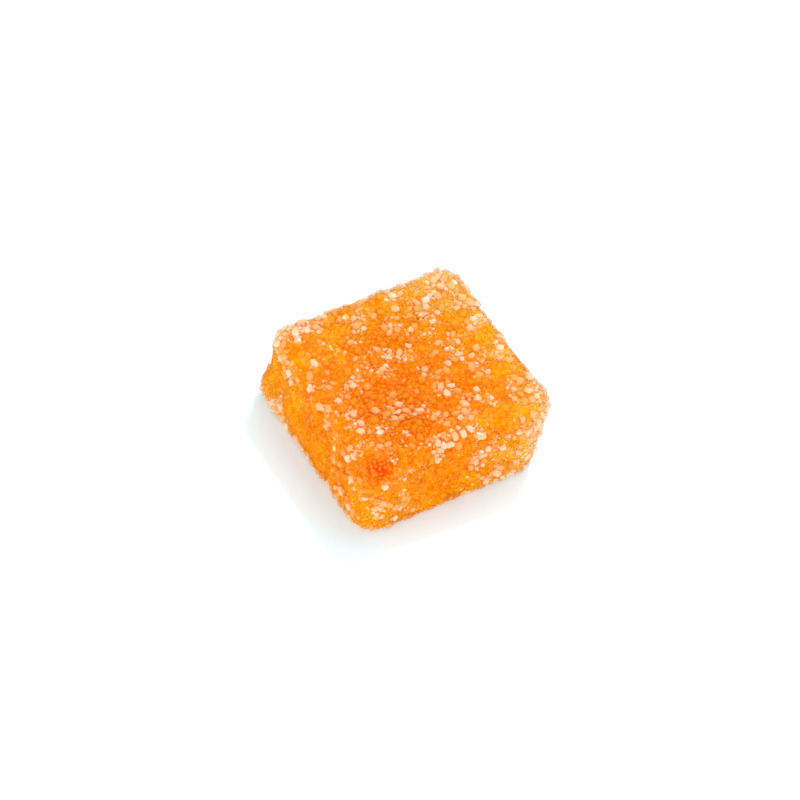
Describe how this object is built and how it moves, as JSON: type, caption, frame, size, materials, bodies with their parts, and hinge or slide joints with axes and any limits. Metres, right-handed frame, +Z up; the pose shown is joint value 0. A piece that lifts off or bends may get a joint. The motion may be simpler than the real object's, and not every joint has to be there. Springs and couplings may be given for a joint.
{
  "type": "fruit jelly candy",
  "caption": "Soft square pillow of set fruit jelly with a slightly sunken top, rounded edges and a rough coat of coarse sugar grains; it lies on its flat underside.",
  "frame": {"origin": "middle of the flat underside, at the height of what the sweet stands on", "axes": "+Z up through the top; X and Y along the sides of the square; the corner at -X -Y has the low lump and the corner at +X +Y is the highest"},
  "size_m": [0.023, 0.023, 0.0106],
  "materials": {
    "sugared_jelly": "translucent orange fruit jelly under a glinting coat of coarse white sugar"
  },
  "bodies": {
    "root": {"jelly": "sugared_jelly"}
  },
  "joints": []
}
